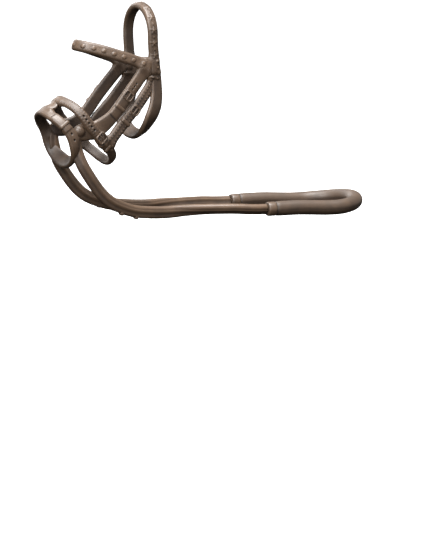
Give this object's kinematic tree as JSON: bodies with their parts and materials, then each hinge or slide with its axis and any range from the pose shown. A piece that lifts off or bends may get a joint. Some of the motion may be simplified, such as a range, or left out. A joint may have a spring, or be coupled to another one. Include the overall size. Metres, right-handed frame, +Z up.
{
  "type": "toy bridle with reins",
  "caption": "Small moulded bridle for a toy horse: headpiece, browband, cheek straps, noseband, flash strap, throatlatch, and reins joined behind by a round hand grip.",
  "frame": {"origin": "middle of the underside of the crownpiece, where the bridle rests on a peg or on the horse's poll", "axes": "+Z up, +X towards the horse's tail and the hand grip, -Y the horse's near (left) side"},
  "size_m": [0.0842, 0.023, 0.0514],
  "materials": {
    "straps": "satin moulded soft plastic",
    "fittings": "satin moulded soft plastic",
    "grip": "satin moulded soft plastic"
  },
  "bodies": {
    "headstall": {"bit_stud_far": "fittings", "bit_stud_near": "fittings", "browband": "straps", "browband_loop_far": "fittings", "browband_loop_near": "fittings", "cheek_buckle_far": "fittings", "cheek_buckle_near": "fittings", "cheek_keeper_far": "fittings", "cheek_keeper_near": "fittings", "cheekpiece_far": "straps", "cheekpiece_near": "straps", "chin_strap": "straps", "crownpiece": "straps", "flash_keeper": "fittings", "flash_strap": "straps", "flash_tab": "straps", "hanger_buckle_far": "fittings", "hanger_buckle_near": "fittings", "hanger_keeper_far": "fittings", "hanger_keeper_near": "fittings", "noseband_buckle_far": "fittings", "noseband_buckle_near": "fittings", "noseband_hanger_far": "straps", "noseband_hanger_near": "straps", "noseband_keeper_near": "fittings", "nosepiece": "straps"},
    "throatlatch": {"throatlatch": "straps"},
    "reins": {"rein_far": "straps", "rein_near": "straps", "rein_stop_1_far": "fittings", "rein_stop_1_near": "fittings", "rein_stop_2_far": "fittings", "rein_stop_2_near": "fittings"},
    "grip": {"hand_grip": "grip", "grip_collar_near": "fittings", "grip_collar_far": "fittings"}
  },
  "joints": [
    {"name": "rein_lift", "type": "hinge", "parent": "headstall", "child": "reins", "pos_m": [-0.0191, 0, -0.0275], "axis": [0, -1, 0], "range_deg": [0, 12], "stiffness_Nm_per_rad": 0.02},
    {"name": "grip_pull", "type": "slide", "parent": "reins", "child": "grip", "axis": [1, 0, 0], "range_m": [0, 0.005]},
    {"name": "throatlatch_swing", "type": "hinge", "parent": "headstall", "child": "throatlatch", "pos_m": [0.0009, 0, -0.0135], "axis": [0, -1, 0], "range_deg": [0, 30], "stiffness_Nm_per_rad": 0.0002}
  ]
}
